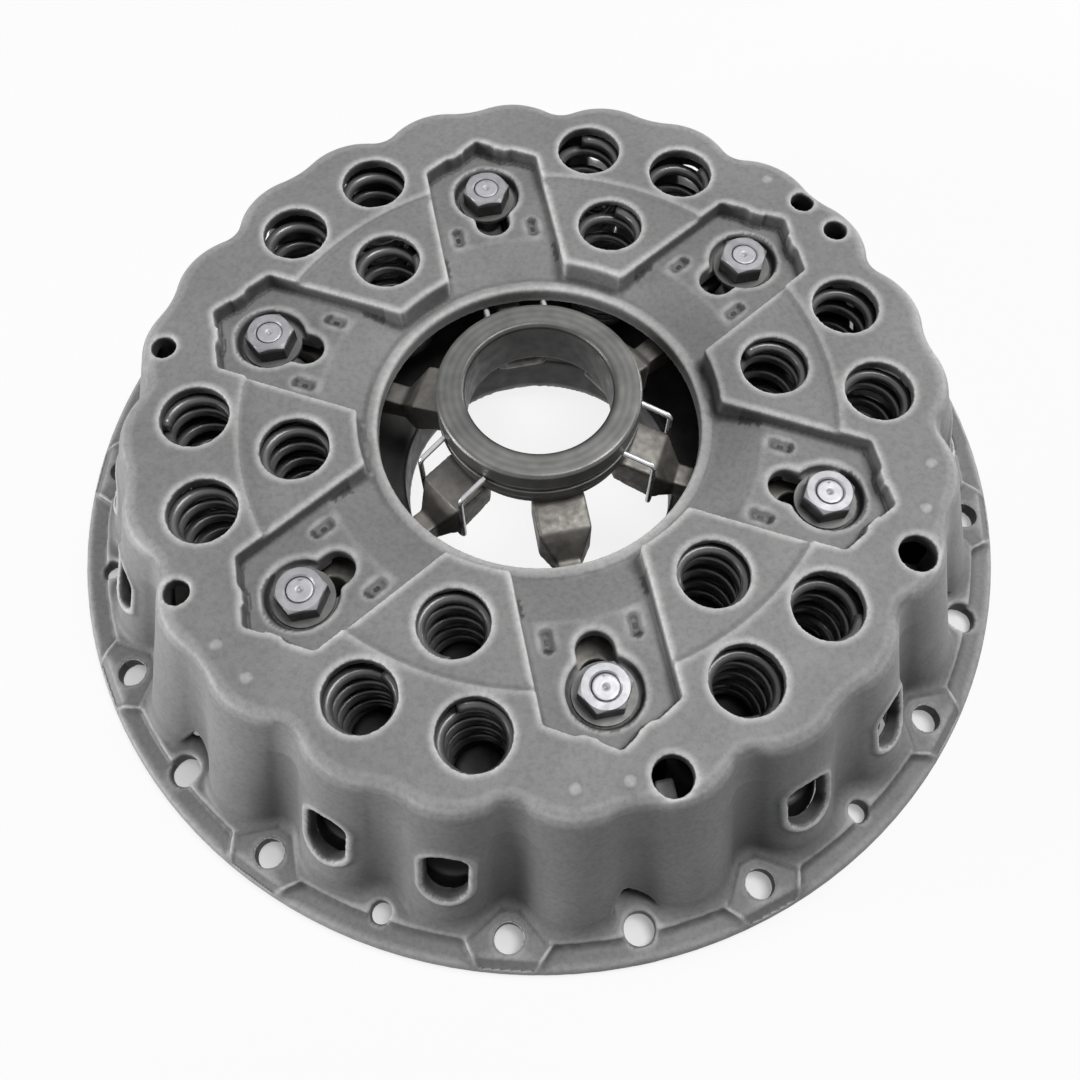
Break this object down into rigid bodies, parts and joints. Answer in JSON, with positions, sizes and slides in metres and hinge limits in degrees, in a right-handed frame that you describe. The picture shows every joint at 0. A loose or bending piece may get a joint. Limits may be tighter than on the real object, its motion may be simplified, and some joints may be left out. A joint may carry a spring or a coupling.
{
  "type": "clutch pressure plate",
  "caption": "Round coil-spring clutch cover assembly: lobed cast cover on a bolt flange, pressure plate, release levers on eye bolts, and a release ring.",
  "frame": {"origin": "centre of the flange's mounting face, on the clutch axis", "axes": "+Z along the clutch axis from the flywheel towards the release ring, +Y through one release lever"},
  "size_m": [0.4599, 0.46, 0.1062],
  "materials": {
    "cast_cover": "matt grey-painted casting",
    "plate_iron": "machined grey iron",
    "ring_steel": "dark machined steel",
    "lever_steel": "forged steel, dull",
    "bolt_steel": "zinc-plated steel",
    "nut_steel": "bright zinc-plated steel",
    "washer_steel": "blackened steel",
    "pin_steel": "ground steel",
    "wire_steel": "bright spring wire",
    "spring_steel": "glossy black paint"
  },
  "bodies": {
    "cover_body": {"cover_flange": "cast_cover", "cover_wall": "cast_cover", "cover_band": "cast_cover", "cover_trays": "cast_cover", "nut_washers": "washer_steel", "fulcrum_pins": "pin_steel", "eye_bolt_1": "bolt_steel", "eye_bolt_2": "bolt_steel", "eye_bolt_3": "bolt_steel", "eye_bolt_4": "bolt_steel", "eye_bolt_5": "bolt_steel", "eye_bolt_6": "bolt_steel", "adjusting_nut_1": "nut_steel", "adjusting_nut_2": "nut_steel", "adjusting_nut_3": "nut_steel", "adjusting_nut_4": "nut_steel", "adjusting_nut_5": "nut_steel", "adjusting_nut_6": "nut_steel", "lever_spring_1": "wire_steel", "lever_spring_2": "wire_steel", "lever_spring_3": "wire_steel", "lever_spring_4": "wire_steel", "lever_spring_5": "wire_steel", "lever_spring_6": "wire_steel", "pressure_spring_1": "spring_steel", "pressure_spring_2": "spring_steel", "pressure_spring_3": "spring_steel", "pressure_spring_4": "spring_steel", "pressure_spring_5": "spring_steel", "pressure_spring_6": "spring_steel", "pressure_spring_7": "spring_steel", "pressure_spring_8": "spring_steel", "pressure_spring_9": "spring_steel", "pressure_spring_10": "spring_steel", "pressure_spring_11": "spring_steel", "pressure_spring_12": "spring_steel", "pressure_spring_13": "spring_steel", "pressure_spring_14": "spring_steel", "pressure_spring_15": "spring_steel", "pressure_spring_16": "spring_steel", "pressure_spring_17": "spring_steel", "pressure_spring_18": "spring_steel"},
    "plate_body": {"pressure_plate": "plate_iron", "load_pins": "pin_steel"},
    "ring_body": {"release_ring": "ring_steel", "ring_clips": "wire_steel"},
    "lever_1_body": {"release_lever_1": "lever_steel"},
    "lever_2_body": {"release_lever_2": "lever_steel"},
    "lever_3_body": {"release_lever_3": "lever_steel"},
    "lever_4_body": {"release_lever_4": "lever_steel"},
    "lever_5_body": {"release_lever_5": "lever_steel"},
    "lever_6_body": {"release_lever_6": "lever_steel"}
  },
  "joints": [
    {"name": "plate_lift", "type": "slide", "parent": "cover_body", "child": "plate_body", "axis": [0, 0, 1], "range_m": [0, 0.005], "stiffness_N_per_m": 2000, "springref_m": -0.05, "deforming": ["pressure_spring_1", "pressure_spring_2", "pressure_spring_3", "pressure_spring_4", "pressure_spring_5", "pressure_spring_6", "pressure_spring_7", "pressure_spring_8", "pressure_spring_9", "pressure_spring_10", "pressure_spring_11", "pressure_spring_12", "pressure_spring_13", "pressure_spring_14", "pressure_spring_15", "pressure_spring_16", "pressure_spring_17", "pressure_spring_18"]},
    {"name": "lever_1_pivot", "type": "hinge", "parent": "cover_body", "child": "lever_1_body", "pos_m": [0, 0.132, 0.054], "axis": [1, 0, 0], "range_deg": [0, 14.6]},
    {"name": "lever_2_pivot", "type": "hinge", "parent": "cover_body", "child": "lever_2_body", "pos_m": [0.11432, 0.066, 0.054], "axis": [0.5, -0.866, 0], "range_deg": [0, 14.6]},
    {"name": "lever_3_pivot", "type": "hinge", "parent": "cover_body", "child": "lever_3_body", "pos_m": [0.11432, -0.066, 0.054], "axis": [-0.5, -0.866, 0], "range_deg": [0, 14.6]},
    {"name": "lever_4_pivot", "type": "hinge", "parent": "cover_body", "child": "lever_4_body", "pos_m": [0, -0.132, 0.054], "axis": [-1, 0, 0], "range_deg": [0, 14.6]},
    {"name": "lever_5_pivot", "type": "hinge", "parent": "cover_body", "child": "lever_5_body", "pos_m": [-0.11432, -0.066, 0.054], "axis": [-0.5, 0.866, 0], "range_deg": [0, 14.6]},
    {"name": "lever_6_pivot", "type": "hinge", "parent": "cover_body", "child": "lever_6_body", "pos_m": [-0.11432, 0.066, 0.054], "axis": [0.5, 0.866, 0], "range_deg": [0, 14.6]},
    {"name": "ring_slide", "type": "slide", "parent": "cover_body", "child": "ring_body", "axis": [0, 0, -1], "range_m": [0, 0.0222]}
  ],
  "couplings": [
    {"joint": "lever_1_pivot", "follows": "plate_lift", "rad_per_m": 50},
    {"joint": "lever_2_pivot", "follows": "plate_lift", "rad_per_m": 50},
    {"joint": "lever_3_pivot", "follows": "plate_lift", "rad_per_m": 50},
    {"joint": "lever_4_pivot", "follows": "plate_lift", "rad_per_m": 50},
    {"joint": "lever_5_pivot", "follows": "plate_lift", "rad_per_m": 50},
    {"joint": "lever_6_pivot", "follows": "plate_lift", "rad_per_m": 50},
    {"joint": "ring_slide", "follows": "plate_lift", "ratio": 4.4}
  ]
}
